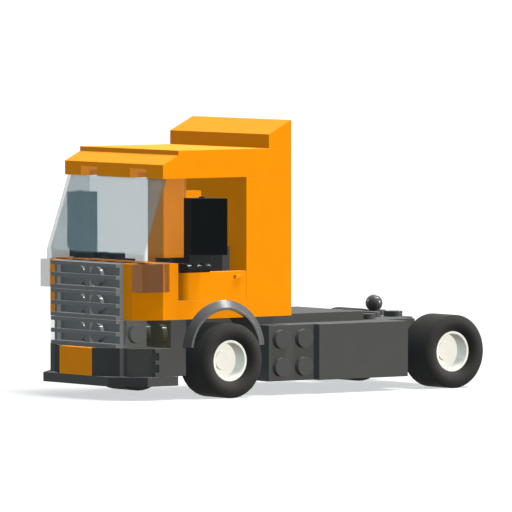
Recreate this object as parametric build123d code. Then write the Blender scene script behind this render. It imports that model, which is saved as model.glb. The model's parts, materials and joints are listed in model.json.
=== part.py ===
from build123d import *
import math
import os

# A brick-built toy truck tractor unit. Millimetres, +Z up, wheels on z = 0.
# The truck faces -Y and its left side is +X. All outlines are drawn in the
# layout frame, where y = 0 is the front of the sun visor; "keep" then moves
# every piece so that the middle of the truck's length lies on the origin.

# ---- driving dimensions ----
P = 8.0                    # stud pitch, and the height of a brick
T = P / 3                  # height of a plate
GAP = 0.12                 # between neighbouring pieces that do not lock
STUD_R = 2.7               # stud radius
STUD_H = 1.6               # stud height
WALL = 2.4                 # cab and panel walls
GLASS = 0.8                # windscreen thickness
GLASS_FOOT = 1.1           # the same at its foot, up to the dash line
GLASS_ROUND = 0.5          # outer radius of the windscreen's upright edges

HALF_W = 3 * P             # half width of the cab and bumper
HALF_DECK = 2 * P          # half width of the chassis deck
RIDE = 4.0                 # underside of the bumper lip above the ground

TYRE_R = 10.65
TYRE_W = 12.0
WHEEL_GAP = 0.5            # between a tyre and the chassis side
TREAD_W = 10.6             # flat tread, between its two edges
BULGE_R = 8.4              # where a tyre's side wall stands out most
RIM_R = 5.85               # rim's outer radius, where the tyre seats
RIM_W = 9.1
RIM_WALL = 0.7
DISC_T = 1.2               # thickness of the wheel disc and of the hub round the pin
HUB_H = 1.0                # height of the round boss on the disc
DISC_IN = 4.3              # depth of the dished wheel disc
PIN_R = 1.6                # axle pin
PIN_FIT = 0.08             # radial clearance of a wheel or a door on its pin
PIN_BLOCK = 2.8            # from the deck's side in to the block that holds a pin
WHEELBASE = 10 * P

DOOR_L = 3 * P
DOOR_H = P
DOOR_T = 2.6
DOOR_GAP = 0.06            # all round a shut door
HINGE_R = P / 2            # round front end of a door
HINGE_PIN_R = 1.2
HINGE_PIN_L = 1.4
HANDLE = 1.0               # how far a door's handle stands out, and its height
HANDLE_L = 2.6
HANDLE_INSET = 1.8         # from the door's free end to the handle
FINGER_R = 1.25            # knuckle between a mirror and its hinge plate
FINGER_GAP = 0.06          # between fingers

BAR = P / 7                # bar of a grille tile; a slot is two bars high
TILE_END = 1.2             # closed end of a grille tile
TILE_STUD = 1.2            # studs behind a grille tile
ARCH_WALL = 0.7            # flange behind a mudguard's flare
LENS = 1.1                 # wall of a clear lamp
LAMP_PROUD = 0.9           # how far an indicator stands out from the cab's side
LAMP_BACK = 0.21 * P       # how far it runs back along that side
ROOF_LAMP_D = 0.75 * P
STUB_R = 2.4               # shallow stubs that locate the windscreen's foot
STUB_H = 0.4
TUBE_R = 3.25              # tubes under a brick, between its studs' places
TUBE_BORE = 2.4
BRICK_WALL = 1.5
BRICK_TOP = 1.2
POST_BACK = 1.04           # from the visor's front back to the post
CLIP_W = 3.6
CLIP_DROP = 0.45 * P       # from the roof down to the post's clip
BALL_R = 2.5
NECK_R = 1.5               # neck under the ball

# ---- levels along Z ----
Z_LIP = RIDE
Z_BUMPER = Z_LIP + T
Z_LAMP = Z_BUMPER + P
Z_CAB = Z_LAMP + P         # underside of the cab
Z_SILL = Z_CAB + 2 * T     # under the doors
Z_DOOR = Z_SILL + DOOR_H
Z_BELT = Z_CAB + 2 * P     # foot of the windscreen
Z_DASH = Z_BELT + T
Z_ROOF = Z_BELT + 3 * P
Z_TOP = Z_ROOF + P
Z_DECK = Z_CAB - T         # top of the chassis, under the deck plate

# ---- stations along Y, in the layout frame ----
Y_LIP = -5 * T
Y_NOSE = -4 * T            # front of the grille tiles
Y_FACE = -P                # front face of the lower cab
Y_SKIRT = -2.5 * T         # foot of the windscreen
Y_STUB = Y_SKIRT + GLASS_FOOT + STUB_R + GAP
Y_SCREEN_TOP = 0.1 * P
Y_DOOR = 2 * T
Y_WALL = Y_DOOR + DOOR_L   # partition behind the seat
Y_BACK = Y_WALL + 2 * P    # rear of the cab
Y_SIDE = Y_WALL + P        # front end of the side plates
Y_TANK = Y_SIDE + 2 * P
Y_TANK_END = Y_TANK + 4 * P
Y_DECK_END = Y_TANK_END - P
Y_AXLE_F = Y_DOOR + 2 * P
Y_AXLE_R = Y_AXLE_F + WHEELBASE
Y_REAR = Y_AXLE_R + P
Y_BEAM_END = Y_TANK_END + 4 * T
Z_AXLE = TYRE_R
X_TYRE = HALF_DECK + WHEEL_GAP                 # inner face of a tyre
X_WHEEL = X_TYRE + TYRE_W / 2
X_PIN_END = X_WHEEL + RIM_W / 2 - DISC_IN - DISC_T - GAP
X_MIRROR = HALF_W + T      # inner face of a mirror
X_KNUCKLE = HALF_W + 0.45 * P
FINGER_W = P / 5 - FINGER_GAP
Y_MIDDLE = (Y_LIP + Y_AXLE_R + TYRE_R) / 2

os.makedirs("parts", exist_ok=True)


def keep(name, shape):
    """Write one node, moved from the layout frame to the part's frame."""
    moved = Pos(0, -Y_MIDDLE, 0) * shape
    moved.label = name
    export_step(moved, f"parts/{name}.step")


def box(x0, x1, y0, y1, z0, z1):
    size = Box(x1 - x0, y1 - y0, z1 - z0)
    return Pos((x0 + x1) / 2, (y0 + y1) / 2, (z0 + z1) / 2) * size


def plan(points, z0, z1):
    """A prism on an outline in XY."""
    face = make_face(Polyline(*points, close=True))
    return extrude(Pos(0, 0, z0) * face, z1 - z0, dir=(0, 0, 1))


def side(points, x0, x1):
    """A prism on an outline in YZ."""
    face = make_face(Polyline(*[(x0, y, z) for y, z in points], close=True))
    return extrude(face, x1 - x0, dir=(1, 0, 0))


def rod(x, y, z, radius, length, axis):
    """A cylinder from a centre point along +axis."""
    return Plane(origin=(x, y, z), z_dir=axis) * Cylinder(
        radius, length, align=(Align.CENTER, Align.CENTER, Align.MIN)
    )


def mirror_x(shape):
    return mirror(shape, Plane.YZ)


def group(solids):
    return Compound(children=list(solids))


def both(shape):
    return group([shape, mirror_x(shape)])


UP, FRONT, LEFT = (0, 0, 1), (0, -1, 0), (1, 0, 0)


def brick(x0, x1, y0, y1, z0, z1):
    """A brick open below, with a tube between every four studs' places."""
    inside = box(
        x0 + BRICK_WALL, x1 - BRICK_WALL, y0 + BRICK_WALL, y1 - BRICK_WALL, z0, z1 - BRICK_TOP
    )
    for i in range(1, round((x1 - x0) / P)):
        for j in range(1, round((y1 - y0) / P)):
            x, y, height = x0 + i * P, y0 + j * P, z1 - BRICK_TOP - z0
            inside -= rod(x, y, z0, TUBE_R, height, UP) - rod(x, y, z0, TUBE_BORE, height, UP)
    return box(x0, x1, y0, y1, z0, z1) - inside


# ---- lower cab front, bumper and lip ----
def nose_plan(y_end):
    """Outline of the front: flat face with two angled corners."""
    corner = HALF_W - P / 2
    half = [(corner, Y_FACE), (HALF_W, 0), (HALF_W, y_end)]
    return half + [(-x, y) for x, y in reversed(half)]


def cab_front():
    """Orange corners beside the grille, joined behind it, hollow from below."""
    shell = plan(nose_plan(Y_DOOR), Z_CAB, Z_BELT)
    shell -= box(-HALF_DECK, HALF_DECK, Y_FACE, 0, Z_CAB, Z_BELT)
    shell -= box(-HALF_DECK, HALF_DECK, WALL, Y_DOOR - WALL / 2, Z_CAB, Z_BELT - BRICK_TOP)
    for column in (-2.5, 2.5):
        shell += rod(column * P, Y_STUB, Z_BELT, STUB_R, STUB_H, UP)
    return shell


def indicator():
    """Clear cover that squares the angled corner and runs back along the side."""
    corner, outside = HALF_W - P / 2, HALF_W + LAMP_PROUD
    outline = [
        (corner, Y_FACE), (outside, Y_FACE), (outside, LAMP_BACK), (HALF_W, LAMP_BACK),
        (HALF_W, Y_FACE + T), (corner + T / 2, Y_FACE + T),
    ]
    return plan(outline, Z_BELT - P, Z_BELT)


def grille_tile(x0, x1, y_front, z0):
    """Slotted tile, one brick high: three bars across two slots, open behind
    so that a stud fits between its end walls."""
    y_back, y_floor = y_front + T, y_front + T / 2
    z = [z0 + GAP / 2] + [z0 + row * BAR for row in (1, 3, 4, 6)] + [z0 + P - GAP / 2]
    tile = box(x0 + GAP / 2, x1 - GAP / 2, y_front, y_back, z[0], z[-1])
    tile -= box(x0 + TILE_END, x1 - TILE_END, y_floor, y_back, z[1], z[4])
    for low, high in ((z[1], z[2]), (z[3], z[4])):
        tile -= box(x0, x1, y_front, y_floor, low, high)
    return tile


def grille():
    """Two columns and three rows of open tiles in front of the cab."""
    tiles = []
    for column in (-1, 0):
        for row in range(3):
            x0 = column * 2 * P
            tiles.append(grille_tile(x0, x0 + 2 * P, Y_NOSE, Z_LAMP + row * P))
    return group(tiles)


def grille_wall():
    """Block with studs on its face for the grille tiles and on its sides."""
    wall = box(-HALF_DECK, HALF_DECK, Y_FACE, 0, Z_LAMP, Z_BELT)
    for row in range(3):
        for column in (-0.5, 0.5):
            z = Z_LAMP + (row + 0.5) * P
            wall += rod(column * P, Y_FACE, z, STUD_R, TILE_STUD, FRONT)
    for sign in (-1, 1):
        z = Z_LAMP + P / 2
        wall += rod(sign * HALF_DECK, Y_FACE + P / 2, z, STUD_R, STUD_H, (sign, 0, 0))
    return wall


def grille_cap():
    """Shallow stubs along the top of the grille block, under the windscreen."""
    stubs = [rod((i - 1.5) * P, Y_STUB, Z_BELT, STUB_R, STUB_H, UP) for i in range(4)]
    return group(stubs)


def bumper_beam():
    """Block behind the number plate and the bumper's nose."""
    return box(-HALF_DECK, HALF_DECK, Y_FACE, 0, Z_BUMPER, Z_LAMP)


def bumper_nose():
    """Chamfered nose beside the number plate."""
    half = [(P, Y_LIP), (2 * P, Y_FACE - T / 2), (2 * P, Y_FACE)]
    outline = half + [(-x, y) for x, y in reversed(half)]
    return plan(outline, Z_BUMPER, Z_LAMP) - box(-P, P, Y_LIP, Y_NOSE, Z_BUMPER, Z_LAMP)


def number_plate():
    return box(-P + GAP, P - GAP, Y_LIP, Y_NOSE, Z_BUMPER, Z_LAMP - GAP)


def bumper_corner():
    """Angled corner of the bumper with the end of a slotted tile."""
    outline = [(HALF_DECK, Y_FACE), (HALF_W - P / 2, Y_FACE), (HALF_W, 0), (HALF_DECK, 0)]
    wedge = plan(outline, Z_BUMPER, Z_LAMP)
    tile = grille_tile(P, HALF_W + GAP / 2, -T, Z_BUMPER)
    return wedge + tile - box(-HALF_DECK, HALF_DECK, Y_LIP, P, 0, Z_TOP)


def lip():
    """Wedge-cornered plate under the bumper."""
    half = [(2 * P, Y_LIP), (HALF_W, -2 * T), (HALF_W, Y_DOOR)]
    outline = plan(half + [(-x, y) for x, y in reversed(half)], Z_LIP, Z_BUMPER)
    solid = box(-HALF_DECK, HALF_DECK, Y_DOOR - 2 * P, Y_DOOR, Z_LIP, Z_BUMPER)
    return outline - solid + brick(-HALF_DECK, HALF_DECK, Y_DOOR - 2 * P, Y_DOOR, Z_LIP, Z_BUMPER)


def headlamp():
    """Clear wall round the corner, in front of the studs behind it."""
    def shape(inset, z0, z1):
        corner = HALF_W - P / 2
        points = [
            (HALF_DECK, Y_FACE + inset), (corner - 0.4 * inset, Y_FACE + inset),
            (HALF_W - inset, -0.4 * inset), (HALF_W - inset, T), (HALF_DECK, T),
        ]
        return plan(points, z0, z1)
    block = shape(0, Z_LAMP + GAP, Z_CAB - GAP)
    return block - shape(LENS, Z_LAMP, Z_CAB)


def lamp_carrier():
    """Side block between the headlamp and the front wheel."""
    block = box(HALF_DECK, HALF_W, T, P, Z_BUMPER, Z_CAB)
    block += box(HALF_DECK, HALF_W, 0, T, Z_BUMPER, Z_LAMP)
    block += rod(HALF_W - P / 2, T, Z_LAMP + P / 2, STUD_R, STUD_H, FRONT)
    return block


# ---- cab ----
def cab_floor():
    """Floor plate, with a sill and a hinge block under each door."""
    floor = box(-HALF_W, HALF_W, Y_DOOR, Y_BACK, Z_CAB, Z_CAB + T)
    sill = box(HALF_W - WALL, HALF_W, Y_DOOR, Y_WALL, Z_CAB, Z_SILL)
    sill += box(HALF_W - P, HALF_W, Y_DOOR, Y_DOOR + P, Z_CAB, Z_SILL)
    sill -= hinge_bore(Z_SILL, -HINGE_PIN_L - GAP)
    return floor + sill + mirror_x(sill)


def cab_partition():
    return box(-HALF_W + WALL, HALF_W - WALL, Y_WALL, Y_WALL + WALL, Z_CAB + T, Z_ROOF)


def cab_side():
    return box(HALF_W - WALL, HALF_W, Y_WALL, Y_BACK, Z_CAB + T, Z_ROOF)


def cab_back():
    return box(-HALF_W + WALL, HALF_W - WALL, Y_BACK - WALL, Y_BACK, Z_CAB + T, Z_ROOF)


def cab_roof():
    """Roof with a stepped visor, hollow from below between its walls."""
    front = [(0, Z_ROOF), (0, Z_ROOF + P / 2), (Y_DOOR, Z_TOP - T / 2), (Y_DOOR, Z_TOP)]
    roof = side(front + [(Y_BACK, Z_TOP), (Y_BACK, Z_ROOF)], -HALF_W, HALF_W)
    inset = HALF_W - WALL
    roof -= box(-inset, inset, P, Y_WALL, Z_ROOF, Z_TOP - WALL)
    roof -= box(-inset, inset, Y_WALL + WALL, Y_BACK - WALL, Z_ROOF, Z_TOP - WALL)
    return roof - both(box(P, 2 * P, 0, ROOF_LAMP_D, Z_ROOF, Z_ROOF + T))


def roof_lamp():
    """Clear block under the visor, with a socket below."""
    lamp = box(P + GAP, 2 * P - GAP, 0, ROOF_LAMP_D - GAP, Z_ROOF, Z_ROOF + T - GAP)
    return lamp - rod(1.5 * P, ROOF_LAMP_D / 2, Z_ROOF, STUB_R, STUD_H, UP)


def deflector():
    y = Y_BACK - P
    profile = [(y, Z_TOP), (y, Z_TOP + P / 2), (Y_BACK, Z_TOP + P), (Y_BACK, Z_TOP)]
    return side(profile, -HALF_W, HALF_W)


def screen_profile(inset):
    """Side outline of the windscreen, moved in from its outer face."""
    y0, y1 = Y_SKIRT, Y_SCREEN_TOP
    lean = inset * math.hypot(1, (y1 - y0) / (Z_ROOF - Z_DASH))
    return [(y0 + lean, Z_BELT), (y0 + lean, Z_DASH), (y1 + lean, Z_ROOF), (P, Z_ROOF), (P, Z_BELT)]


def screen_solid(inset):
    """Solid under the windscreen's surface, moved in from its outer face."""
    return side(screen_profile(inset), inset - HALF_W, HALF_W - inset)


def windscreen():
    """Wrap-round screen with soft upright edges, a little thicker at its foot."""
    block = screen_solid(0)
    upright = []
    for edge in block.edges():
        middle, tall = edge.center(), edge.bounding_box().size.Z > T / 2
        if tall and middle.Y < P / 2:
            upright.append(edge)
    outside = fillet(upright, GLASS_ROUND)
    foot = outside & box(-HALF_W, HALF_W, Y_SKIRT, P, Z_BELT, Z_DASH)
    return outside - screen_solid(GLASS) + (foot - screen_solid(GLASS_FOOT))


def dash_peg():
    """Round peg on the right, in front of the mirror's hinge plate and its stud."""
    y = Y_DOOR + P / 2 - 2 * STUD_R - GAP
    return rod(-HALF_W + P / 2, y, Z_BELT, STUD_R, STUD_H, UP)


def pillar():
    """Post on the left stud of the hinge plate, up to the roof, with a clip behind."""
    x0, x1 = HALF_DECK + 2 * GAP, HALF_W - GLASS_FOOT - GAP
    y0, y1 = POST_BACK, POST_BACK + P - GAP
    post = box(x0, x1, y0, y1, Z_BELT + STUD_H, Z_ROOF) & screen_solid(GLASS_FOOT + GAP)
    post += box(x0, x1, P / 2, y1, Z_BELT + STUD_H, Z_ROOF)
    clip = box(x1 - CLIP_W, x1, y1, y1 + 2 * T, Z_ROOF - CLIP_DROP - T, Z_ROOF - CLIP_DROP)
    return post + clip


def door():
    """Low door with a round hinge end, a pin above and below, and a handle."""
    x, y = HALF_W - HINGE_R, Y_DOOR + HINGE_R
    z0, z1 = Z_SILL + DOOR_GAP, Z_DOOR - DOOR_GAP
    end = Y_WALL - DOOR_GAP
    leaf = rod(x, y, z0, HINGE_R, z1 - z0, UP)
    leaf += box(HALF_W - DOOR_T, HALF_W, y, end, z0, z1)
    grip = end - HANDLE_INSET
    leaf += box(HALF_W, HALF_W + HANDLE, grip - HANDLE_L, grip, z1 - 2 * HANDLE, z1 - HANDLE)
    return leaf + rod(x, y, z0 - HINGE_PIN_L, HINGE_PIN_R, z1 - z0 + 2 * HINGE_PIN_L, UP)


def hinge_bore(z_face, depth):
    """Blind hole for a door's pin; depth is negative for one that goes down."""
    x, y = HALF_W - HINGE_R, Y_DOOR + HINGE_R
    return rod(x, y, min(z_face, z_face + depth), HINGE_PIN_R + PIN_FIT, abs(depth), UP)


def knuckle(places):
    """Finger rings along Y, at the given places in pitches from the door's front."""
    rings = []
    for place in places:
        y = Y_DOOR + place * P - FINGER_W / 2
        rings.append(rod(X_KNUCKLE, y + FINGER_W, Z_BELT - T / 2, FINGER_R, FINGER_W, FRONT))
    return rings


def mirror_bracket():
    """Hinge plate over the door's hinge: two studs, and three fingers outside."""
    y0, y1 = Y_DOOR, Y_DOOR + P
    plate = box(HALF_W - 2 * P, HALF_W + 0.2 * P, y0, y1, Z_DOOR, Z_BELT)
    for column in (0.5, 1.5):
        plate += rod(HALF_W - column * P, Y_DOOR + P / 2, Z_BELT, STUD_R, STUD_H, UP)
    for ring in knuckle((0.1, 0.5, 0.9)):
        span = ring.bounding_box()
        y, z = (span.min.Y, span.max.Y), (span.min.Z, span.max.Z)
        plate += ring + box(HALF_W + 0.1 * P, X_KNUCKLE, *y, *z)
    return plate - hinge_bore(Z_DOOR, HINGE_PIN_L + GAP)


def mirror_head():
    """Mirror housing on a foot whose two fingers fit between the plate's three."""
    y0, y1 = Y_DOOR, Y_DOOR + P
    outline = [(X_MIRROR, y0), (X_MIRROR + 0.47 * P, y0), (X_MIRROR + 1.25 * P, y1), (X_MIRROR, y1)]
    head = plan(outline, Z_DASH, Z_DASH + 2 * P)
    head += rod(X_MIRROR + 0.4 * P, y0 + P / 2, Z_DASH + 2 * P, 0.1 * P, 0.05 * P, UP)
    head += rod(X_MIRROR, y0 + 0.37 * P, Z_DASH + P, 0.17 * P, 0.08 * P, (-1, 0, 0))
    foot = box(X_MIRROR, X_MIRROR + T, y0, y1, Z_BELT + FINGER_GAP, Z_DASH)
    for ring in knuckle((0.3, 0.7)):
        span = ring.bounding_box()
        y = (span.min.Y, span.max.Y)
        foot += ring + box(X_MIRROR, X_KNUCKLE + FINGER_R, *y, Z_BELT - T / 2, Z_DASH)
    return head + foot


def seat():
    base = box(0, 2 * P, Y_WALL - 2 * P, Y_WALL, Z_CAB + T, Z_CAB + P)
    cushion = box(0, 2 * P, Y_WALL - 2 * P, Y_WALL, Z_CAB + P, Z_CAB + P + T)
    back = box(0, 2 * P, Y_WALL - T, Y_WALL, Z_CAB + P, Z_DASH + T / 2)
    return base + cushion + back


# ---- chassis ----
def deck():
    return box(-HALF_DECK, HALF_DECK, P, Y_DECK_END, Z_DECK, Z_CAB)


def chassis_front():
    x = HALF_DECK - PIN_BLOCK
    frame = box(-x, x, P, Y_SIDE, Z_BUMPER, Z_DECK)
    frame += box(-HALF_DECK, HALF_DECK, T, P, Z_BUMPER, Z_CAB)
    frame += box(-HALF_DECK, HALF_DECK, 0, T, Z_BUMPER, Z_LAMP)
    frame += box(-P, P, 0, T, Z_LAMP, Z_CAB)
    for column in (-1.5, 1.5):
        frame += rod(column * P, T, Z_LAMP + P / 2, STUD_R, STUD_H, FRONT)
    return frame - axle_pin(Y_AXLE_F)


def chassis_core():
    core = brick(-HALF_DECK, HALF_DECK, Y_SIDE, Y_TANK_END, Z_BUMPER, Z_DECK)
    for column in (-1.5, -0.5, 0.5, 1.5):
        core += rod(column * P, Y_DECK_END + P / 2, Z_DECK, STUD_R, STUD_H, UP)
    return core


def rear_spine():
    """Rear end of the chassis, under the coupling plate."""
    spine = box(-P, P, Y_TANK_END, Y_REAR, Z_BUMPER, Z_DECK - T)
    for sign in (-1, 1):
        spine += box(min(sign * P, sign * HALF_DECK), max(sign * P, sign * HALF_DECK),
                     Y_TANK_END, Y_BEAM_END, Z_BUMPER, Z_DECK)
    x = HALF_DECK - PIN_BLOCK
    spine += box(-x, x, Y_AXLE_R - P, Y_AXLE_R + P, Z_BUMPER, Z_AXLE + P / 2)
    return spine - axle_pin(Y_AXLE_R)


def ball_plate():
    plate = box(-P, P, Y_TANK_END, Y_TANK_END + 2 * P, Z_DECK - T, Z_DECK)
    for i in (-0.5, 0.5):
        for j in (0.5, 1.5):
            plate += rod(i * P, Y_TANK_END + j * P, Z_DECK, STUD_R, STUD_H, UP)
    y = Y_TANK_END + P
    z_ball = Z_DECK + 0.48 * P
    plate += rod(0, y, Z_DECK, NECK_R, z_ball - BALL_R / 2 - Z_DECK, UP)
    plate += Pos(0, y, z_ball) * Sphere(BALL_R)
    return plate


def side_carrier():
    return box(HALF_DECK, HALF_W - T, Y_SIDE, Y_TANK_END, Z_LIP, Z_DECK)


def side_plate():
    plate = box(HALF_W - T, HALF_W, Y_SIDE, Y_TANK_END, Z_LIP, Z_DECK)
    for i in (0.5, 1.5):
        for j in (0.5, 1.5):
            plate += rod(HALF_W, Y_SIDE + i * P, Z_LIP + j * P, STUD_R, STUD_H, LEFT)
    return plate


def tank():
    return box(HALF_W, HALF_W + T, Y_TANK, Y_TANK_END, Z_LIP, Z_DECK)


def mudguard():
    y, z = Y_AXLE_F, 5 * T
    r_in, r_lip, r_out = 1.46 * P, 1.55 * P, 1.81 * P
    flare = Plane(origin=(HALF_W, y, z), z_dir=LEFT) * Cone(
        r_out, r_lip, T / 2, align=(Align.CENTER, Align.CENTER, Align.MIN)
    )
    flange = rod(HALF_DECK, y, z, r_in + ARCH_WALL, P, LEFT)
    flange &= box(HALF_DECK, HALF_W, y - 2 * P, y + 2 * P, Z_LAMP, Z_CAB)
    arch = flare + rod(HALF_W, y, z, r_in + ARCH_WALL, T / 2, LEFT)
    arch -= box(0, 2 * HALF_W, y - 3 * P, y + 3 * P, -P, Z_LAMP)
    return (arch + flange) - rod(0, y, z, r_in, 2 * HALF_W, LEFT)


def axle_pin(y):
    """Cross pin whose ends carry the two wheels."""
    return rod(-X_PIN_END, y, Z_AXLE, PIN_R, 2 * X_PIN_END, LEFT)


# ---- wheels ----
def tyre(x, y):
    """Slick tyre: flat tread with crisp edges, and side walls that bulge."""
    bulge = (TYRE_W / 2, BULGE_R)
    with BuildSketch(Plane.XY) as section:
        with BuildLine():
            Line((0, RIM_R), (RIM_W / 2, RIM_R))
            TangentArc(bulge, (RIM_W / 2, RIM_R), tangent=(0, -1))
            TangentArc(bulge, (TREAD_W / 2, TYRE_R), tangent=(0, 1))
            Line((TREAD_W / 2, TYRE_R), (0, TYRE_R))
            mirror(about=Plane.YZ)
        make_face()
    return Pos(x, y, Z_AXLE) * revolve(section.sketch, Axis.X)


def rim(x, y, sign):
    """Dished wheel: a drum, a disc with a centre stud, and a hub on the pin."""
    out, drum = RIM_W / 2, RIM_R - RIM_WALL
    disc = out - DISC_IN
    back = disc - DISC_T
    bore = PIN_R + PIN_FIT
    section = [
        (-out, bore), (back, bore), (back, 0), (disc + HUB_H, 0), (disc + HUB_H, STUD_R),
        (disc, STUD_R), (disc, drum), (out, drum), (out, RIM_R), (-out, RIM_R),
        (-out, drum), (back, drum), (back, bore + DISC_T), (-out, bore + DISC_T),
    ]
    body = revolve(make_face(Polyline(*section, close=True)), Axis.X)
    if sign < 0:
        body = mirror_x(body)
    return Pos(x, y, Z_AXLE) * body


# ---- write the nodes ----
keep("cab_front", cab_front())
keep("grille", grille())
keep("grille_wall", grille_wall())
keep("grille_cap", grille_cap())
keep("bumper_beam", bumper_beam())
keep("bumper_nose", bumper_nose())
keep("number_plate", number_plate())
keep("bumper_corners", both(bumper_corner()))
keep("bumper_lip", lip())
keep("cab_floor", cab_floor())
keep("cab_partition", cab_partition())
keep("cab_back", cab_back())
keep("cab_roof", cab_roof())
keep("roof_lamps", both(roof_lamp()))
keep("wind_deflector", deflector())
keep("windscreen", windscreen())
keep("dash_peg", dash_peg())
keep("pillar_left", pillar())
keep("seat", seat())
keep("deck", deck())
keep("chassis_front", chassis_front())
keep("chassis_core", chassis_core())
keep("rear_spine", rear_spine())
keep("ball_plate", ball_plate())
keep("axle_front", axle_pin(Y_AXLE_F))
keep("axle_rear", axle_pin(Y_AXLE_R))

SIDED = (
    ("cab_side", cab_side),
    ("headlamp", headlamp),
    ("indicator", indicator),
    ("lamp_carrier", lamp_carrier),
    ("door", door),
    ("mirror_bracket", mirror_bracket),
    ("mirror", mirror_head),
    ("mudguard", mudguard),
    ("side_carrier", side_carrier),
    ("side_plate", side_plate),
    ("tank", tank),
)
for name, make in SIDED:
    piece = make()
    keep(name + "_left", piece)
    keep(name + "_right", mirror_x(piece))

for end, y in (("front", Y_AXLE_F), ("rear", Y_AXLE_R)):
    for hand, sign in (("left", 1), ("right", -1)):
        keep(f"tyre_{end}_{hand}", tyre(sign * X_WHEEL, y))
        keep(f"rim_{end}_{hand}", rim(sign * X_WHEEL, y, sign))
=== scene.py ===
import json
import math

import bpy
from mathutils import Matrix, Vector

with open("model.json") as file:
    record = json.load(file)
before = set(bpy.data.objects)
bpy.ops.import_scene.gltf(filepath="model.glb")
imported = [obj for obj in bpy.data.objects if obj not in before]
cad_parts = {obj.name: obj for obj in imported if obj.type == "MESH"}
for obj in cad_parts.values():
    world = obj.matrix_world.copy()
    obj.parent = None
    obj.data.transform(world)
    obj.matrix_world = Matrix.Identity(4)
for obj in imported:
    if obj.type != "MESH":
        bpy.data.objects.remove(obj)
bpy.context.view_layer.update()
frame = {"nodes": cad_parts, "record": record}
nodes = frame["nodes"]

MM = 0.001
WHITE = (1, 1, 1)


# ---- node helpers ----
def feed(tree, value, socket):
    """Links an output to a socket, or sets the socket to a number or a colour."""
    if isinstance(value, bpy.types.NodeSocket):
        tree.links.new(value, socket)
    elif isinstance(value, tuple):
        socket.default_value = (*value, 1)
    else:
        socket.default_value = value


def calculate(tree, operation, *values):
    """The result of a sum on one or two values."""
    node = tree.nodes.new("ShaderNodeMath")
    node.operation = operation
    for value, socket in zip(values, node.inputs):
        feed(tree, value, socket)
    return node.outputs["Value"]


def blend(tree, factor, first, second):
    """A colour between the first (factor 0) and the second (factor 1)."""
    node = tree.nodes.new("ShaderNodeMix")
    node.data_type = "RGBA"
    feed(tree, factor, node.inputs["Factor"])
    feed(tree, first, node.inputs["A"])
    feed(tree, second, node.inputs["B"])
    return node.outputs["Result"]


def ramp(tree, value, low, high, start=0.0, end=1.0):
    """Goes from low to high while the value goes from start to end."""
    node = tree.nodes.new("ShaderNodeMapRange")
    feed(tree, value, node.inputs["Value"])
    node.inputs["From Min"].default_value = start
    node.inputs["From Max"].default_value = end
    node.inputs["To Min"].default_value = low
    node.inputs["To Max"].default_value = high
    return node.outputs["Result"]


def axes(tree, vector):
    """The X, Y and Z of a vector, as outputs."""
    node = tree.nodes.new("ShaderNodeSeparateXYZ")
    tree.links.new(vector, node.inputs["Vector"])
    return node.outputs


def object_normal(tree):
    """The X, Y and Z of the direction that a face looks in on its own object."""
    return axes(tree, tree.nodes.new("ShaderNodeTexCoord").outputs["Normal"])


def noise(tree, scale, detail):
    """A noise value that stays in place on its own object."""
    texture = tree.nodes.new("ShaderNodeTexNoise")
    texture.inputs["Scale"].default_value = scale
    texture.inputs["Detail"].default_value = detail
    coords = tree.nodes.new("ShaderNodeTexCoord")
    tree.links.new(coords.outputs["Object"], texture.inputs["Vector"])
    return texture.outputs["Fac"]


def seen_directly(tree):
    """1 for camera, glossy and transmission rays, and 0 for diffuse light."""
    path = tree.nodes.new("ShaderNodeLightPath")
    seen = path.outputs["Is Camera Ray"]
    for ray in ("Is Glossy Ray", "Is Transmission Ray"):
        seen = calculate(tree, "MAXIMUM", seen, path.outputs[ray])
    return seen


def new_tree(name):
    """A new material, with its node tree and its shader."""
    material = bpy.data.materials.new(name)
    material.use_nodes = True
    return material, material.node_tree, material.node_tree.nodes["Principled BSDF"]


# ---- camera ----
AZIMUTH = math.radians(53.48)
ELEVATION = math.radians(2.59)
DISTANCE = 2426 * MM
SENSOR = 36                # mm wide
LENS = 611.7               # mm
FAR_CLIP = 100             # m
LOOK_AT = Vector((68.24, -49.33, 42.54)) * MM


def make_camera():
    data = bpy.data.cameras.new("camera")
    data.sensor_width = SENSOR
    data.lens = LENS
    data.clip_end = FAR_CLIP
    back = Vector((
        math.sin(AZIMUTH) * math.cos(ELEVATION),
        -math.cos(AZIMUTH) * math.cos(ELEVATION),
        math.sin(ELEVATION),
    ))
    camera = bpy.data.objects.new("camera", data)
    camera.location = LOOK_AT + DISTANCE * back
    camera.rotation_euler = (-back).to_track_quat("-Z", "Y").to_euler()
    bpy.context.scene.collection.objects.link(camera)
    bpy.context.scene.camera = camera


# ---- lights and floor ----
WORLD_LIGHT = (0.115, 0.12, 0.125)
FLOOR_SIZE = 40.0          # m
FLOOR_SEEN = (0.54, 0.54, 0.54)
FLOOR_BOUNCE = (0.07, 0.07, 0.07)
SUNS = (
    # name, direction it shines from, strength, colour, angle in degrees, casts shadows
    ("top", (0.20, 0.20, 0.96), 3.1, (1.0, 1.0, 0.98), 30, True),
    ("side", (0.57, 0.79, 0.22), 2.95, (1.0, 0.97, 0.93), 16, False),
    ("left", (0.46, -0.75, 0.46), 0.82, (0.78, 0.93, 1.0), 20, False),
    ("right", (-0.70, -0.58, 0.40), 0.74, (0.74, 0.91, 1.0), 20, False),
    ("rear", (-0.60, 0.65, 0.45), 0.30, (1.0, 1.0, 1.0), 20, True),
    ("sparkle", (0.12, 0.58, 0.80), 2.4, (1.0, 1.0, 1.0), 3, False),
    ("glint", (0.38, 0.59, 0.71), 0.6, (1.0, 1.0, 1.0), 10, False),
)


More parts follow.
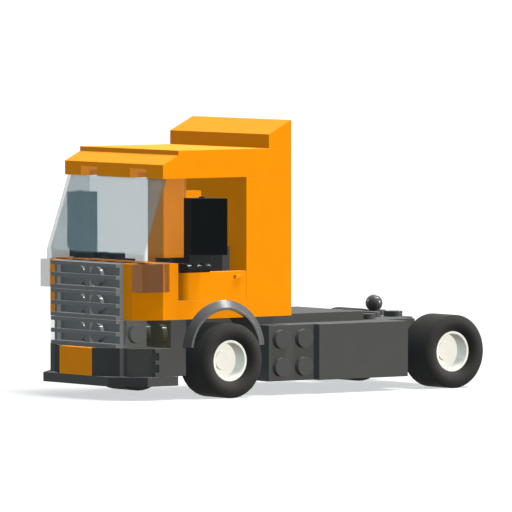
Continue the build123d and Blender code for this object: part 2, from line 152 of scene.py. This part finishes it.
def make_sun(name, direction, strength, colour, angle, shadow):
    """A sun that shines from the given direction, softened by its angle."""
    data = bpy.data.lights.new(name, "SUN")
    data.energy = strength
    data.color = colour
    data.angle = math.radians(angle)
    data.use_shadow = shadow
    lamp = bpy.data.objects.new(name, data)
    lamp.rotation_euler = Vector(direction).to_track_quat("Z", "Y").to_euler()
    bpy.context.scene.collection.objects.link(lamp)


def make_world():
    """White where it is seen, and a dimmer cool light on the object."""
    world = bpy.data.worlds.new("studio")
    world.use_nodes = True
    tree = world.node_tree
    colour = blend(tree, seen_directly(tree), WORLD_LIGHT, WHITE)
    tree.links.new(colour, tree.nodes["Background"].inputs["Color"])
    bpy.context.scene.world = world


def make_floor():
    """Pale where it is seen, and dark to the light that it would throw back up."""
    bpy.ops.mesh.primitive_plane_add(size=FLOOR_SIZE, location=(0, 0, 0))
    floor = bpy.context.object
    floor.name = "floor"
    material, tree, shader = new_tree("floor")
    colour = blend(tree, seen_directly(tree), FLOOR_BOUNCE, FLOOR_SEEN)
    tree.links.new(colour, shader.inputs["Base Color"])
    shader.inputs["Roughness"].default_value = 1.0
    shader.inputs["Specular IOR Level"].default_value = 0.0
    floor.data.materials.append(material)


# ---- materials ----
EDGE_SAMPLES = 6
RIPPLE_DEPTH = 0.02 * MM
GRAIN = {
    # mottle, gloss, ripple: scale and detail of the noise behind each
    # strength: of the ripple
    # edge: radius of the soft edges
    "plastic": {
        "mottle": (180, 2.0), "gloss": (900, 2.0), "ripple": (350, 1.0),
        "strength": 0.25, "edge": 0.14 * MM,
    },
    "clear": {
        "gloss": (700, 2.0), "ripple": (250, 1.0),
        "strength": 0.15, "edge": 0.12 * MM,
    },
    "rubber": {
        "mottle": (1500, 4.0), "gloss": (2500, 3.0), "ripple": (3000, 3.0),
        "strength": 0.5, "edge": 0.2 * MM,
    },
}
PLASTIC_TINTS = (0.94, 1.05)      # darkest and lightest share of the colour
RUBBER_TINTS = (0.85, 1.2)
PLASTIC_GLOSS = (0.8, 1.25)       # least and greatest share of the roughness
CLEAR_ROUGHNESS = (0.03, 0.08)    # least and greatest roughness
RUBBER_ROUGHNESS = (0.55, 0.75)
CLEAR_LEVEL = 0.05                # gloss level
RUBBER_LEVEL = 0.05

# A tilt is the Z of a face's direction: 0 on a wall and 1 on a flat top.
TOP_PAINTED_SHEEN = 0.04           # share of white painted on a flat top: a painted sheen that stands in for the lamps' highlight
PAINTED_SHEEN_TILTS = (0.7, 1.0)   # tilts over which it comes in
FLAT = (0.93, 0.99)        # tilts over which gloss fades: on flat tops only,
SLOPED = (0.7, 0.88)       # on slopes too,
NEVER = (2, 3)             # or nowhere, as no tilt gets that far
SLANT = 0.38               # X times Y of a face's direction where a fade is complete

BOUNCE = 0.1               # share of its colour that plastic gives to light between pieces
RIM_BOUNCE = 0.2           # the same for the dished wheels


def tinted(colour, share):
    """A darker or lighter shade of a colour."""
    return tuple(min(1, c * share) for c in colour)


def mottled(tree, kind, colour, tints):
    """A colour that wanders between two shades of itself."""
    dark, light = [tinted(colour, share) for share in tints]
    return blend(tree, noise(tree, *GRAIN[kind]["mottle"]), dark, light)


def without_slant(tree, normal, value):
    """Fades a value to 0 on faces turned between X and Y."""
    slant = calculate(tree, "MULTIPLY", normal["X"], normal["Y"])
    size = calculate(tree, "ABSOLUTE", slant)
    kept = ramp(tree, size, 1.0, 0.0, end=SLANT)
    return calculate(tree, "MULTIPLY", kept, value)


def below(tree, height, upper, lower):
    """The upper colour, and the lower one under a height in the world."""
    place = tree.nodes.new("ShaderNodeNewGeometry").outputs["Position"]
    low = calculate(tree, "LESS_THAN", axes(tree, place)["Z"], height)
    return blend(tree, low, upper, lower)


def surface(tree, shader, kind, roughness):
    """Uneven roughness, soft moulded edges and a faint ripple in the normal."""
    grain = GRAIN[kind]
    uneven = ramp(tree, noise(tree, *grain["gloss"]), *roughness)
    tree.links.new(uneven, shader.inputs["Roughness"])
    bevel = tree.nodes.new("ShaderNodeBevel")
    bevel.samples = EDGE_SAMPLES
    bevel.inputs["Radius"].default_value = grain["edge"]
    bump = tree.nodes.new("ShaderNodeBump")
    bump.inputs["Strength"].default_value = grain["strength"]
    bump.inputs["Distance"].default_value = RIPPLE_DEPTH
    tree.links.new(noise(tree, *grain["ripple"]), bump.inputs["Height"])
    tree.links.new(bevel.outputs["Normal"], bump.inputs["Normal"])
    tree.links.new(bump.outputs["Normal"], shader.inputs["Normal"])


def plastic(name, colour, roughness, level, matt, bounce):
    """Glossy moulded plastic whose colour and gloss vary slightly.

    Slanted corners are kept matt, as they mirror the room at a glancing angle,
    and so are tops: matt holds the tilts over which the gloss fades.
    bounce is the share of the colour that light between pieces picks up.
    """
    material, tree, shader = new_tree(name)
    normal = object_normal(tree)
    # Tops are painted towards white: a painted sheen that stands in for the white
    # highlight of the lamps on them.
    painted_sheen = ramp(tree, normal["Z"], 0.0, TOP_PAINTED_SHEEN, *PAINTED_SHEEN_TILTS)
    seen = blend(tree, painted_sheen, mottled(tree, "plastic", colour, PLASTIC_TINTS), WHITE)
    base = blend(tree, seen_directly(tree), tinted(colour, bounce), seen)
    tree.links.new(base, shader.inputs["Base Color"])
    gloss = without_slant(tree, normal, ramp(tree, normal["Z"], level, 0.0, *matt))
    tree.links.new(gloss, shader.inputs["Specular IOR Level"])
    surface(tree, shader, "plastic", [roughness * share for share in PLASTIC_GLOSS])
    return material


def clear(name, front, side, joined=False, foot=None):
    """Clear plastic: a thin smoky skin that keeps its gloss.

    front and side hold the colour and the alpha of the faces that look
    along Y and along X; the difference between the two colours is painted shade,
    and the alpha belongs to one skin, and a wall has two.
    joined takes the skin off the slanted face that lies against the cab.
    foot holds a height and the colour of the skin below it.
    """
    material, tree, shader = new_tree(name)
    normal = object_normal(tree)
    sideways = calculate(tree, "ABSOLUTE", normal["X"])
    # The skin's colour changes with the way a face looks: painted shade per facing.
    skin = blend(tree, sideways, front[0], side[0])
    if foot:
        skin = below(tree, foot[0], skin, foot[1])
    tree.links.new(skin, shader.inputs["Base Color"])
    alpha = ramp(tree, sideways, front[1], side[1])
    if joined:
        alpha = without_slant(tree, normal, alpha)
    tree.links.new(alpha, shader.inputs["Alpha"])
    shader.inputs["Specular IOR Level"].default_value = CLEAR_LEVEL
    surface(tree, shader, "clear", CLEAR_ROUGHNESS)
    return material


def rubber(name, colour):
    """Dull rubber, finely mottled."""
    material, tree, shader = new_tree(name)
    base = mottled(tree, "rubber", colour, RUBBER_TINTS)
    tree.links.new(base, shader.inputs["Base Color"])
    shader.inputs["Specular IOR Level"].default_value = RUBBER_LEVEL
    surface(tree, shader, "rubber", RUBBER_ROUGHNESS)
    return material


SMOOTH = 0.16              # roughness of most plastic
DARK_GREY = (0.077, 0.077, 0.076)
PLASTICS = {
    # colour, roughness, gloss level, tilts over which the gloss fades, bounce
    "orange_plastic": ((0.93, 0.29, 0.003), SMOOTH, 0.02, SLOPED, BOUNCE),
    "dark_grey_plastic": (DARK_GREY, SMOOTH, 0.04, FLAT, BOUNCE),
    "arch_plastic": ((0.085, 0.085, 0.084), 0.23, 0.5, NEVER, BOUNCE),
    "ball_plastic": (DARK_GREY, SMOOTH, 0.3, FLAT, BOUNCE),
    "grey_plastic": ((0.175, 0.178, 0.178), SMOOTH, 0.05, FLAT, BOUNCE),
    "black_plastic": ((0.021, 0.023, 0.0235), SMOOTH, 0.05, FLAT, BOUNCE),
    "cream_plastic": ((0.96, 0.93, 0.83), SMOOTH, 0.04, FLAT, RIM_BOUNCE),
}
SCREEN_FOOT = 41.33 * MM   # top of the windscreen's thicker foot
CLEARS = {
    # front colour and alpha, side colour and alpha, joined, foot
    "clear_plastic": (
        ((0.125, 0.215, 0.237), 0.42),
        ((0.08, 0.085, 0.075), 0.18),
        False,
        (SCREEN_FOOT, (0.03, 0.04, 0.04)),
    ),
    "headlamp": (((0.07, 0.10, 0.045), 0.19), ((0.07, 0.06, 0.01), 0.19)),
    "indicator": (((0.02, 0.03, 0.03), 0.38), ((0.03, 0.04, 0.05), 0.38), True),
    "roof_lamps": (((0.08, 0.10, 0.09), 0.19), ((0.08, 0.10, 0.09), 0.19)),
}
TYRE_COLOUR = (0.031, 0.030, 0.029)

# Pieces that don't look like the rest of their slot, by the start of their names.
SPECIAL = {
    "headlamp": "headlamp",
    "indicator": "indicator",
    "roof_lamps": "roof_lamps",
    "mudguard": "arch_plastic",
    "ball_plate": "ball_plastic",
}

materials = {name: plastic(name, *look) for name, look in PLASTICS.items()}
for name, look in CLEARS.items():
    materials[name] = clear(name, *look)
materials["tyre"] = rubber("tyre", TYRE_COLOUR)

for part in frame["record"]["subparts"]:
    mesh = nodes[part["node"]].data
    mesh.materials.clear()
    slot = part["material_slot"]
    for start, special in SPECIAL.items():
        if part["node"].startswith(start):
            slot = special
    mesh.materials.append(materials[slot])

make_camera()
make_world()
for sun in SUNS:
    make_sun(*sun)
make_floor()

bpy.context.scene.view_settings.view_transform = "Standard"
